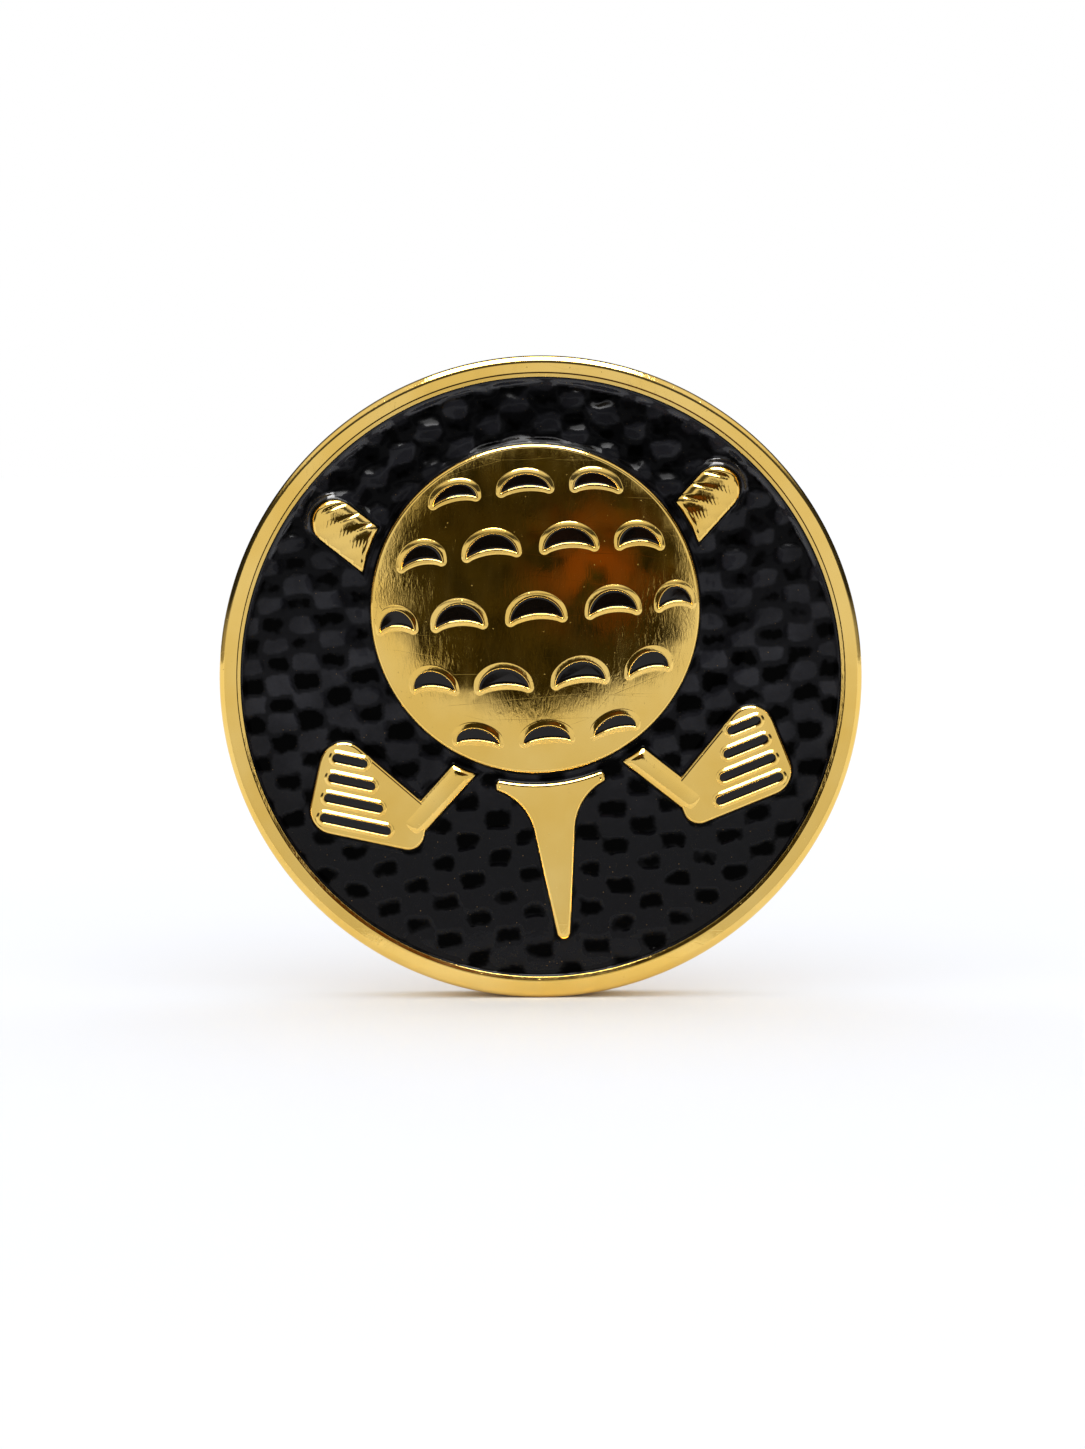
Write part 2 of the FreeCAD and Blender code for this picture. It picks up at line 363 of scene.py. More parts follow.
# Adds a node of any kind, "Math" being short for ShaderNodeMath. Inputs are a list, in the order of
# the sockets in use, or a dictionary; a node given as an input stands for its first output in use.
def addNode(tree, kind, inputs=(), operation=None, **options):
    node = tree.nodes.new(kind if "Node" in kind else "ShaderNode" + kind)
    if operation:
        node.operation = operation
    for name, value in options.items():
        setattr(node, name, value)
    if isinstance(inputs, dict):
        pairs = [(node.inputs[name], value) for name, value in inputs.items()]
    else:
        pairs = zip([socket for socket in node.inputs if socket.enabled], inputs)
    for socket, value in pairs:
        if isinstance(value, bpy.types.Node):
            value = [output for output in value.outputs if output.enabled][0]
        if isinstance(value, bpy.types.NodeSocket):
            tree.links.new(value, socket)
        else:
            socket.default_value = value
    return node


inColour = {"data_type": "RGBA"}
eased = {"interpolation_type": "SMOOTHSTEP"}


# Clears a material's or a world's nodes and returns addNode for its tree.
def clearNodes(owner):
    owner.use_nodes = True
    owner.node_tree.nodes.clear()
    return partial(addNode, owner.node_tree)


# Cloudy noise, with its values from low to high spread out from least to most.
def cloud(add, place, scale, detail=2.0, low=0.0, high=1.0, least=0.0, most=1.0, **inputs):
    noise = add("TexNoise", {"Vector": place, "Scale": scale, "Detail": detail, **inputs})
    return add("MapRange", [noise, low, high, least, most])


def colour(code):
    channels = [int(code[k:k + 2], 16) / 255 for k in (1, 3, 5)]
    return tuple(c / 12.92 if c <= 0.04045 else ((c + 0.055) / 1.055) ** 2.4 for c in channels) + (1.0,)


# Texture scale whose features are this many millimetres across.
def perMm(size):
    return 1 / (size * mm)


def startMaterial(name):
    material = bpy.data.materials.new(name)
    add = clearNodes(material)
    return material, add, add("TexCoord").outputs["Object"]


# Stacks bumps, each given as (height, depth in mm), and ends the material with its shader.
def finishMaterial(add, bumps, inputs):
    for height, depth in bumps:
        above = {"Normal": inputs["Normal"]} if "Normal" in inputs else {}
        inputs["Normal"] = add("Bump", {"Height": height, "Distance": depth * mm, **above})
    add("OutputMaterial", {"Surface": add("BsdfPrincipled", inputs)})


# Gold plate, polished: thin gold over a buffed brass blank. It gives a mirror with slight orange
# peel, feathery buffing lines, and a few pits and hairline scratches.
polishedGold = {
    "gold": "#F8D47C", "goldWarm": "#F1C867", "toneSize": 4.0,
    "peelSize": 1.7, "peelDepth": 0.006,
    "featherSize": 0.2, "featherStretch": 0.3, "featherTurn": 0.5, "featherWave": 1.4,
    "featherDepth": 0.0065, "patchSize": 3.0,
    "pitSpacing": 0.55, "pitEdge": (0.02, 0.055), "pitDepth": 0.005,
    "hairSpacing": 1.4, "hairWidth": 0.008, "hairStretch": 0.22, "hairTurn": 1.1, "hairDepth": 0.0004,
    "hazeSize": 0.6, "haze": (0.04, 0.13),
}


def goldPlatePolished():
    look = polishedGold
    material, add, place = startMaterial("goldPlatePolished")
    tone = cloud(add, place, perMm(look["toneSize"]), 3.0, 0.35, 0.65)
    base = add("Mix", [tone, colour(look["gold"]), colour(look["goldWarm"])], **inColour)
    # haze and feathers that the buffing wheel left, drawn out slantwise
    slant = add("Mapping", {"Vector": place, "Rotation": (0, look["featherTurn"], 0),
                            "Scale": (1, 1, look["featherStretch"])})
    haze = cloud(add, slant, perMm(look["hazeSize"]), 4.0, 0.35, 0.75, *look["haze"], Roughness=0.6)
    peel = add("TexNoise", [place, perMm(look["peelSize"])])
    feather = add("TexNoise", [slant, perMm(look["featherSize"]), 3.0, 0.6])
    feather.inputs["Distortion"].default_value = look["featherWave"]
    where = cloud(add, place, perMm(look["patchSize"]), 1.0, 0.42, 0.62, 0.15, 1.0)
    feather = add("Math", [feather, where], "MULTIPLY")
    spots = add("TexVoronoi", [place, perMm(look["pitSpacing"])])
    pits = add("MapRange", [spots, *look["pitEdge"]])
    # scratches follow the borders of stretched cells, so they are long and nearly straight
    bent = add("Mapping", {"Vector": place, "Rotation": (0, look["hairTurn"], 0),
                           "Scale": (look["hairStretch"], 1, 1)})
    cells = add("TexVoronoi", [bent, perMm(look["hairSpacing"])], feature="DISTANCE_TO_EDGE")
    hairs = add("MapRange", [cells, 0.0, look["hairWidth"]])
    bumps = [(peel, look["peelDepth"]), (feather, look["featherDepth"]), (pits, look["pitDepth"]),
             (hairs, look["hairDepth"])]
    finishMaterial(add, bumps, {"Metallic": 1.0, "Base Color": base, "Roughness": haze})
    return material


# Gold plate over a bead-blasted panel: the same metal with a fine even grain, satin to the eye.
# The grain is drawn coarser than the real one, which is too fine to show.
blastedGold = {"gold": "#E6BE70", "goldWarm": "#DDB160", "toneSize": 3.0, "grainSize": 0.14,
               "grainDepth": 0.012, "satin": (0.3, 0.46)}


def goldPlateBeadBlasted():
    look = blastedGold
    material, add, place = startMaterial("goldPlateBeadBlasted")
    tone = add("TexNoise", [place, perMm(look["toneSize"]), 3.0])
    base = add("Mix", [tone, colour(look["gold"]), colour(look["goldWarm"])], **inColour)
    grain = add("TexNoise", [place, perMm(look["grainSize"]), 4.0, 0.65])
    satin = add("MapRange", [grain, 0.3, 0.7, *look["satin"]])
    finishMaterial(add, [(grain, look["grainDepth"])], {
        "Metallic": 1.0, "Base Color": base, "Roughness": satin})
    return material


# Soft enamel, poured and stoved over the woven relief: black lacquer, glossy and grey on the raised cells
# and dull black in the hollows, with a few flecks of metal. The hollows carry painted shade: their
# specular tint is cut so they hardly reflect, and the raised tone from the woven field holds painted shade
# as well.
wovenEnamel = {
    "hollow": "#010101", "plain": "#0D0D10", "cell": "#26262A", "cloudSize": 0.4, "thinnest": 0.7,
    "fleck": "#6E5736", "fleckSpacing": 0.42, "fleckEdge": (0.075, 0.04),
    "glossy": 0.07, "dull": 0.2, "rippleSize": 0.8, "rippleDepth": 0.01,
    "gloss": 0.15, "borderGloss": 0.5, "hollowShadeTint": 0.15,
}


# The border beside the metal, where the enamel climbs and is thickest, has the higher gloss.
def blackSoftEnamelWoven(name, gloss):
    look = wovenEnamel
    material, add, place = startMaterial(name)
    raised = add("Attribute", attribute_name="raised").outputs["Fac"]
    levelled = add("Attribute", attribute_name="levelled").outputs["Fac"]
    top = add("Mix", [levelled, colour(look["cell"]), colour(look["plain"])], **inColour)
    thin = cloud(add, place, perMm(look["cloudSize"]), 4.0, 0.3, 0.7, look["thinnest"], Roughness=0.6)
    cover = add("Math", [raised, thin], "MULTIPLY")
    shade = add("Mix", [cover, colour(look["hollow"]), top], **inColour)
    specks = add("TexVoronoi", [place, perMm(look["fleckSpacing"])])
    fleck = add("MapRange", [specks, *look["fleckEdge"]])
    fleck = add("Math", [fleck, cover], "MULTIPLY")
    base = add("Mix", [fleck, shade, colour(look["fleck"])], **inColour)
    smooth = add("MapRange", [raised, 0.0, 0.6, look["dull"], look["glossy"]])
    # painted shade: the specular tint is cut in the hollows, so they hardly reflect
    depth = add("MapRange", [raised, 0.0, 1.0, look["hollowShadeTint"]])
    tint = add("CombineColor", [depth] * 3)
    ripple = add("TexNoise", [place, perMm(look["rippleSize"])])
    finishMaterial(add, [(ripple, look["rippleDepth"])], {
        "Base Color": base, "Roughness": smooth, "Specular Tint": tint, "Specular IOR Level": look[gloss]})
    return material


# The same enamel in the small pools: level and plain, with a faint brown painted into its colour as a
# painted reflection of the gold round it.
pouredEnamel = {"black": "#040303", "brown": "#100B09", "toneSize": 0.5, "rippleDepth": 0.002,
                "polish": (0.05, 0.1), "gloss": 0.35}


def blackSoftEnamelPoured():
    look = pouredEnamel
    material, add, place = startMaterial("blackSoftEnamelPoured")
    tone = add("TexNoise", [place, perMm(look["toneSize"])])
    # painted reflection: the brown mixed in stands for the gold round the pool
    base = add("Mix", [tone, colour(look["black"]), colour(look["brown"])], **inColour)
    polish = add("MapRange", [tone, 0.3, 0.7, *look["polish"]])
    finishMaterial(add, [(tone, look["rippleDepth"])], {
        "Base Color": base, "Roughness": polish, "Specular IOR Level": look["gloss"]})
    return material


def geometryTree(name, labels):
    tree = bpy.data.node_groups.new(name, "GeometryNodeTree")
    for way in ("INPUT", "OUTPUT"):
        tree.interface.new_socket("Geometry", in_out=way, socket_type="NodeSocketGeometry")
    for label in labels:
        tree.interface.new_socket(label, in_out="INPUT", socket_type="NodeSocketFloat")
    add = partial(addNode, tree)
    return tree, add, add("NodeGroupInput").outputs


# Returns the plain mesh that the tree makes from this one.
def runTree(shape, tree, values):
    holder = addObject(shape.name + "Source", shape)
    modifier = holder.modifiers.new(tree.name, "NODES")
    modifier.node_group = tree
    for item in tree.interface.items_tree:
        if item.in_out == "INPUT" and item.name in values:
            modifier[item.identifier] = values[item.name]
    graph = bpy.context.evaluated_depsgraph_get()
    result = bpy.data.meshes.new_from_object(holder.evaluated_get(graph), depsgraph=graph)
    holder.modifiers.clear()
    bpy.data.objects.remove(holder)
    return result


rim = {"edgeRound": 0.38, "bevel": 0.19, "bevelDrop": 0.1, "crest": 0.2, "segments": 384,
       "backEdgeRound": 0.25, "backRim": 1.4, "backSink": 0.25, "backBevel": 0.15}


def struckBlank():
    radius, thick = coin["radius"], coin["thickness"]
    field, floor = coin["fieldRadius"], coin["fieldFloor"]
    panel = radius - rim["backRim"]
    corners = [
        (0, floor, 0),
        (field, floor, 0),
        (field, coin["enamelLevel"], 0),
        (field, thick - rim["bevelDrop"], 0.02),
        (field + rim["bevel"], thick, rim["crest"]),
        (radius, thick, rim["edgeRound"]),
        (radius, 0, rim["backEdgeRound"]),
        (panel + rim["backBevel"], 0, 0.07),
        (panel, rim["backSink"], 0.04),
        (0, rim["backSink"], 0),
    ]
    verts, faces = lathe(roundCorners(corners, 11, support=0.02), rim["segments"])
    looks = []
    for face in faces:
        u, v, w = np.mean([verts[k] for k in face], 0)
        onPanel = math.hypot(u, v) < panel - 0.03 and w < thick / 2
        looks.append(1 if onPanel else 0)
    return verts, faces, looks


ball = {"radius": 8.1, "centre": (0.0, 3.4), "crown": 0.24, "edgeRound": 0.2, "segments": 288}
dimples = {"rows": (3, 4, 5, 4, 3), "edge": 1.75, "gap": 0.42, "wrap": 1.12, "height": 0.45, "hollow": 0.3,
           "lip": 0.28, "tip": 0.05, "depth": 0.5, "sink": 0.05,
           "upper": 1.02, "upperInner": 0.4, "lower": 0.7, "changeStart": 0.25, "changeOver": 0.35}
# Lip section from its foot on the metal to the pool's wall: (share of the lip's width, rise in mm)
lipSection = [(1.3, 0.0), (1.1, 0.0), (1.03, 0.0005), (0.98, 0.004), (0.92, 0.012), (0.8, 0.026),
              (0.64, 0.042), (0.48, 0.057), (0.34, 0.07), (0.22, 0.079), (0.1, 0.084), (0.0, 0.083),
              (-0.09, 0.072), (-0.17, 0.05), (-0.23, 0.02), (-0.27, -0.02), (-0.28, -0.06)]
ballMiddle = placeArt([ball["centre"]])[0]
ballRadius = ball["radius"] * artScale
crownRadius = (ballRadius ** 2 + ball["crown"] ** 2) / (2 * ball["crown"])


def crownAt(points):
    away = np.linalg.norm(np.asarray(points) - ballMiddle, axis=1)
    return plateLevel + ball["crown"] - (crownRadius - np.sqrt(crownRadius ** 2 - away ** 2))


def flatAt(points):
    return plateLevel


dimpleRings = (len(dimples["rows"]) - 1) / 2
dimplePitch = (ball["radius"] - dimples["edge"]) / dimpleRings
dimpleWidth = dimplePitch - 2 * dimples["lip"] - dimples["gap"]


def dimpleCentres():
    centres = []
    for row, count in enumerate(dimples["rows"]):
        v = (dimpleRings - row) * dimplePitch * math.sin(math.radians(60))
        centres += [((column - (count - 1) / 2) * dimplePitch, v) for column in range(count)]
    return np.array(centres)


def sharp(points):
    return [(u, v, 0) for u, v in points]


# A crescent about its own middle, round side up, with small round tips.
def crescent():
    half = dimpleWidth / 2
    height = dimpleWidth * dimples["height"]
    left, right = (-half, -height / 2), (half, -height / 2)
    upper = arcThrough(right, (0, height / 2), left, 31)
    lower = arcThrough(left, (0, height * (dimples["hollow"] - 0.5)), right, 25)
    tip = dimples["tip"]
    corners = [*sharp(upper[2:-2]), (*left, tip), *sharp(lower[2:-2]), (*right, tip)]
    return counterClockwise(roundCorners(corners, 7))


def wrapOnBall(points):
    reach = np.maximum(np.linalg.norm(points, axis=1), 1e-9)
    bend = dimples["wrap"] / ball["radius"]
    shrink = ball["radius"] * np.sin(reach * bend) / (reach * math.sin(dimples["wrap"]))
    return points * shrink[:, None] + ball["centre"]


def dimplePools():
    shape = crescent()
    # the narrow lower lip grows into the wide upper one
    risen = shape[:, 1] - shape[:, 1].min() - dimples["changeStart"]
    share = np.clip(0.5 + risen / dimples["changeOver"], 0, 1)
    lip, lower = dimples["lip"] * artScale, dimples["lower"]
    width, inner = (lip * (lower + (dimples[upper] - lower) * share) for upper in ("upper", "upperInner"))
    return [{"outline": placeArt(wrapOnBall(shape + centre)), "width": width, "inner": inner,
             "depth": dimples["depth"]} for centre in dimpleCentres()]


def ballOutline():
    return placeArt(circle(ball["radius"], ball["segments"], ball["centre"]))


tee = {"cup": 2.7, "cupEdge": 0.55, "flare": 2.3, "waist": 0.22, "stemTop": 1.0, "stemTip": 0.35,
       "tip": -12.6, "corner": 0.22, "edgeCorner": 0.15, "edgeRound": 0.17}


def teeOutline():
    gap = ball["radius"] + coin["artGap"]
    middle = ball["centre"][1]
    wide, top, point, tipV = tee["cup"], tee["stemTop"], tee["stemTip"], tee["tip"]
    cupV = middle + polar(gap, -90 + math.degrees(math.asin(wide / gap)))[1]
    edgeV = cupV - tee["cupEdge"]
    waist = top + (wide - top) * tee["waist"]
    cup = arcThrough((wide, cupV), (0, middle - gap), (-wide, cupV), 41)
    left = arcThrough((-wide, edgeV), (-waist, edgeV - tee["flare"] / 2), (-top, edgeV - tee["flare"]), 15)
    tip = arcThrough((-point, tipV), (0, tipV - point), (point, tipV), 11)
    corners = [(wide, cupV, tee["corner"]), *sharp(cup[3:-3]), (-wide, cupV, tee["corner"]),
               (-wide, edgeV, tee["edgeCorner"]), *sharp(left[2:]), *sharp(tip),
               *sharp(left[:1:-1] * (-1, 1)), (wide, edgeV, tee["edgeCorner"])]
    return placeArt(resample(counterClockwise(roundCorners(corners, 8))))


iron = {"lean": 43.0, "lie": 60.0, "heel": (-7.3, -7.1), "length": 24.0, "shaft": 1.25, "grip": 2.3,
        "back": 0.9, "blade": 4.9, "toeHeight": 4.7, "heelHeight": 1.5, "sole": 0.75,
        "round": 0.8, "toeRound": 1.2, "edgeRound": 0.17}
scores = {"count": 4, "pitch": 1.0, "width": 0.5, "start": 1.0, "step": 0.6, "toeGap": 0.8, "lip": 0.16,
          "depth": 0.5, "sink": 0.05}


def onIron(toe, up):
    return (np.array(iron["heel"]) + polar(toe, iron["lean"] + 180 - iron["lie"])
            + polar(up, iron["lean"] + 90 - iron["lie"]))


def onShaft(along, across):
    return (np.array(iron["heel"]) + np.outer(along, polar(1, iron["lean"]))
            + np.outer(across, polar(1, iron["lean"] + 90)))


# side is 1 for the iron whose head is at the left, and -1 for its mirror image
def sideOf(points, side):
    return counterClockwise(placeArt(np.asarray(points) * (side, 1)))


def headOutline(side):
    corners = [(-iron["back"], -iron["sole"], iron["round"]),
               (iron["blade"], -iron["sole"], iron["toeRound"]),
               (iron["blade"], iron["toeHeight"], iron["toeRound"]),
               (-iron["back"], iron["heelHeight"], iron["round"])]
    placed = [(*onIron(toe, up), radius) for toe, up, radius in corners]
    return sideOf(resample(roundCorners(placed, 12)), side)


# Score lines are slots with round ends.
def scoreLines(side):
    lines = []
    for index in range(scores["count"]):
        near = onIron(scores["start"] + index * scores["step"], index * scores["pitch"])
        far = onIron(iron["blade"] - scores["toeGap"], index * scores["pitch"])
        along = (far - near) / np.linalg.norm(far - near) * scores["width"] / 2
        across = np.array([-along[1], along[0]])
        first = arcThrough(near + across, near - along, near - across, 9)
        second = arcThrough(far - across, far + along, far + across, 9)
        lines.append(sideOf(resample(np.vstack([first, second])), side))
    return lines


def scorePools(side):
    lip = scores["lip"] * artScale
    return [{"outline": line, "width": lip, "inner": lip, "depth": scores["depth"]}
            for line in scoreLines(side)]


# Shafts and grips are struck as half-round bars that stop short of the ball. The grips have the
# slanting grooves of a wrapped leather grip.
bars = {"shaftCrest": 0.3, "gripCrest": 0.34, "shaftStart": 0.2, "acrossSteps": 20, "shaftSteps": 24,
        "gripSteps": 110, "endRound": 0.35, "foot": 0.04, "fullness": 0.85,
        "wrapPitch": 0.8, "wrapSlant": 0.55, "wrapDepth": 0.06, "wrapWidth": 0.16}


# Distance along the shaft where a line beside its axis meets the gap round the ball.
def ballEdgeAlong(across, sign):
    toward = np.array(ball["centre"]) - iron["heel"]
    reach = ball["radius"] + coin["artGap"]
    along, aside = (toward @ polar(1, iron["lean"] + turn) for turn in (0, 90))
    return along + sign * np.sqrt(reach ** 2 - (aside - across) ** 2)


def shaftSpans(across):
    return np.full(len(across), bars["shaftStart"]), ballEdgeAlong(across, -1)


def gripSpans(across):
    end = iron["length"] - iron["grip"] / 2 + np.sqrt(np.maximum((iron["grip"] / 2) ** 2 - across ** 2, 0))
    return ballEdgeAlong(across, 1), end


def halfRoundBar(side, word, spans):
    width, crest, steps = iron[word], bars[word + "Crest"], bars[word + "Steps"]
    across = -np.cos(np.linspace(0, math.pi, bars["acrossSteps"] + 1)) * width / 2
    first, last = spans(across)
    section = np.sqrt(np.clip(1 - (2 * across / width) ** 2, 0, 1)) ** bars["fullness"]
    verts = []
    for share in 0.5 - 0.5 * np.cos(np.linspace(0, math.pi, steps + 1)):
        distance = first + (last - first) * share
        nearEnd = np.minimum(distance - first, last - distance)
        taper = np.sqrt(1 - (1 - np.clip(nearEnd / bars["endRound"], 0, 1)) ** 2)
        heights = coin["enamelLevel"] - bars["foot"] + (crest + bars["foot"]) * section * taper
        if word == "grip":
            turn = (distance + bars["wrapSlant"] * across) % bars["wrapPitch"] - bars["wrapPitch"] / 2
            heights -= bars["wrapDepth"] * section * np.exp(-(2 * turn / bars["wrapWidth"]) ** 2)
        addRing(verts, placeArt(onShaft(distance, across) * (side, 1)), heights)
    low, wide = len(verts), len(across)
    verts += [(u, v, coin["fieldFloor"]) for u, v, _ in verts]
    faces = []
    for row in range(steps + 1):
        for k in range(wide):
            a, here, ahead = row * wide + k, k < wide - 1, row < steps
            if here and ahead:
                faces.append((a, a + 1, a + wide + 1, a + wide))
                faces.append((low + a, low + a + wide, low + a + wide + 1, low + a + 1))
            if ahead and k in (0, wide - 1):
                faces.append((a, a + wide, low + a + wide, low + a))
            if here and row in (0, steps):
                faces.append((a, a + 1, low + a + 1, low + a))
    return verts, faces, 0


def makeStruckBody():
    parts = [struckBlank(),
             struckPlate(ballOutline(), crownAt, ball["edgeRound"], dimplePools(), fine["ballNet"]),
             struckPlate(teeOutline(), flatAt, tee["edgeRound"])]
    for side in (1, -1):
        parts.append(struckPlate(headOutline(side), flatAt, iron["edgeRound"], scorePools(side)))
        parts.append(halfRoundBar(side, "shaft", shaftSpans))
        parts.append(halfRoundBar(side, "grip", gripSpans))
    looks = [goldPlatePolished(), goldPlateBeadBlasted()]
    makePiece("struckBody", parts, looks, ["struck_body"])


# The woven field: a checker of raised cells, crowded together and almost levelled at the foot, and
# standing apart as round lumps at the top.
weave = {"Repeat Width": 2.9, "Repeat Height": 1.95, "Turn": math.radians(-5.6), "Wander": 0.3,
         "Fullness Foot": 0.37, "Fullness Top": -0.2, "Crispness Foot": 5.0, "Crispness Top": 1.4,
         "Relief Foot": 0.07, "Relief Top": 0.3, "Border Fade": 0.36, "Meniscus Rise": 0.1,
         "Meniscus Reach": 0.085, "Border Foot": 0.05, "Border Top": 0.42}
# What changes up the face: the heights in mm where the change starts and ends, and the value at each.
# The saddle and cell tones darken towards the top as painted shade.
weaveByHeight = {
    "fullness": (-9.0, 0.0, "Fullness Foot", "Fullness Top"),
    "crispness": (-9.0, 2.0, "Crispness Foot", "Crispness Top"),
    "relief": (2.0, 11.0, "Relief Foot", "Relief Top"),
    "border": (-1.0, 11.0, "Border Foot", "Border Top"),
    "blunt": (1.0, 8.0, 1.5, 1.05), "levelled": (-1.0, -8.0, 0.0, 1.0),
    "saddleTone": (0.0, 9.0, 0.32, 0.1), "cellTone": (0.0, 9.0, 0.68, 0.6),
}
# Uneven places: scale per mm, detail, and the noise's values from low to high spread from least to most.
weaveNoise = {
    "uneven": (0.8, 2.0, 0.3, 0.7, -0.38, 0.38), "broken": (1.9, 3.0, 0.0, 1.0, -1.3, 1.3),
    "patchy": (0.42, 1.0, 0.38, 0.62, 0.5, 1.0), "waver": (1.3, 1.0, 0.0, 1.0, -0.15, 0.15),
    "strength": (0.55, 0.0, 0.35, 0.65, 0.6, 1.15),
}
weaveSteps = {"driftScale": 0.6, "saddle": (-1.35, -0.75), "cell": (-0.15, 0.25), "fadeStart": 0.13,
              "underRim": (13.8, 14.1), "inland": 0.14, "cover": (-0.01, 0.03), "shadow": (0.03, 0.1)}
enamel = {"net": 0.1, "rings": (-0.03, 0.0, 0.03, 0.065, 0.11, 0.17, 0.24), "rimSegments": 420,
          "clearance": 0.01, "metalSpacing": 0.05}


def weaveTree():
    tree, add, given = geometryTree("wovenField", weave)
    place = add("GeometryNodeInputPosition")
    height = add("SeparateXYZ", [place]).outputs[1]
    up = {}
    for label, (low, high, foot, top) in weaveByHeight.items():
        ends = [given[end] if isinstance(end, str) else end for end in (foot, top)]
        up[label] = add("MapRange", [height, low, high, *ends])
    noise = {label: cloud(add, place, *values) for label, values in weaveNoise.items()}
    drift = add("TexNoise", [place, weaveSteps["driftScale"], 1.0]).outputs[1]
    drift = add("VectorMath", [drift, (0.5, 0.5, 0.5)], "SUBTRACT")
    drift = add("VectorMath", [drift, given["Wander"]], "SCALE")
    moved = add("VectorMath", [place, drift], "ADD")
    turned = add("VectorRotate", {"Vector": moved, "Angle": given["Turn"]}, rotation_type="Z_AXIS")
    repeat = add("CombineXYZ", [given["Repeat Width"], given["Repeat Height"], 1.0])
    phase = add("VectorMath", [turned, repeat], "DIVIDE")
    phase = add("VectorMath", [phase, 2 * math.pi], "SCALE")
    wave = add("SeparateXYZ", [add("VectorMath", [phase], "COSINE")]).outputs

    # a checker, blunted, filled out and made crisp by height
    across = add("Math", [wave[0], up["blunt"]], "MULTIPLY")
    across = add("Math", [across], "TANH")
    full = add("Math", [across, wave[1]], "MULTIPLY")
    for more in (up["fullness"], noise["uneven"]):
        full = add("Math", [full, more], "ADD")
    shaped = add("Math", [full, up["crispness"]], "MULTIPLY")

    # three tones: black in the hollows, dark on the saddles between them, grey on the cells; the saddles
    # and cells darker towards the top as painted shade
    broken = add("Math", [noise["broken"], shaped], "ADD")
    saddle = add("MapRange", [broken, *weaveSteps["saddle"], 0.0, up["saddleTone"]], **eased)
    cell = add("MapRange", [shaped, *weaveSteps["cell"], 0.0, up["cellTone"]], **eased)
    patchy = add("Math", [noise["patchy"], up["levelled"]], "MAXIMUM")
    raised = add("Math", [cell, patchy, saddle], "MULTIPLY_ADD")

    # a glossier border with a wavy inner edge, widest at the top and under the rim
    distance = add("GeometryNodeInputNamedAttribute", ["edgeDistance"], data_type="FLOAT")
    outward = add("VectorMath", [place], "LENGTH")
    outward = add("MapRange", [outward, *weaveSteps["underRim"], weaveSteps["inland"], 1.0])
    reach = add("Math", [up["border"], outward], "MULTIPLY")
    waver = add("Math", [noise["waver"], distance], "ADD")
    border = add("Math", [reach, waver], "SUBTRACT")
    covered = add("MapRange", [border, *weaveSteps["cover"]])
    raised = add("Math", [raised, covered], "MAXIMUM")
    # painted shadow: right at the metal the tone goes to black, where the enamel lies in the metal's
    # shadow
    shadow = add("MapRange", [distance, *weaveSteps["shadow"]])
    raised = add("Math", [raised, shadow], "MULTIPLY")

    # the hollows sink, fading out at the metal, where the enamel climbs a little instead
    lift = add("Math", [shaped], "TANH")
    lift = add("Math", [lift, 0.5, -0.5], "MULTIPLY_ADD")
    fade = add("MapRange", [distance, weaveSteps["fadeStart"], given["Border Fade"]], **eased)
    for factor in (up["relief"], noise["strength"], fade):
        lift = add("Math", [lift, factor], "MULTIPLY")
    climb = add("Math", [distance, given["Meniscus Reach"]], "DIVIDE")
    climb = add("Math", [climb, -1.0], "MULTIPLY")
    climb = add("Math", [climb], "EXPONENT")
    lift = add("Math", [climb, given["Meniscus Rise"], lift], "MULTIPLY_ADD")
    formed = given[0]
    # the raised tone carries painted shadow beside the metal and painted shade towards the top, and sets
    # the enamel's colour, gloss and specular tint
    for label, value in (("raised", raised), ("levelled", up["levelled"])):
        formed = add("GeometryNodeStoreNamedAttribute", {
            "Geometry": formed, "Name": label, "Value": value})
    topOnly = add("GeometryNodeInputNamedAttribute", ["onTop"], data_type="BOOLEAN")
    push = add("CombineXYZ", {"Z": lift})
    formed = add("GeometryNodeSetPosition", {"Geometry": formed, "Selection": topOnly, "Offset": push})
    formed = add("GeometryNodeRealizeInstances", {"Geometry": formed})
    beside = add("Math", [border, 0.0], "GREATER_THAN")
    for name, gloss, where in (("Woven", "gloss", True), ("Border", "borderGloss", beside)):
        formed = add("GeometryNodeSetMaterial", {
            "Geometry": formed, "Selection": where,
            "Material": blackSoftEnamelWoven("blackSoftEnamel" + name, gloss)})
    add("NodeGroupOutput", {0: formed})
    return tree


def barOutline(side, width, spans):
    across = np.linspace(-1, 1, 15) * width / 2
    near, far = (onShaft(distance, across) for distance in spans(across))
    return sideOf(resample(np.vstack([near, far[::-1]])), side)


def islandOutlines():
    outlines = [ballOutline(), teeOutline()]
    for side in (1, -1):
        shaft = barOutline(side, iron["shaft"], shaftSpans)
        outlines += [joinOutlines(headOutline(side), shaft), barOutline(side, iron["grip"], gripSpans)]
    return outlines


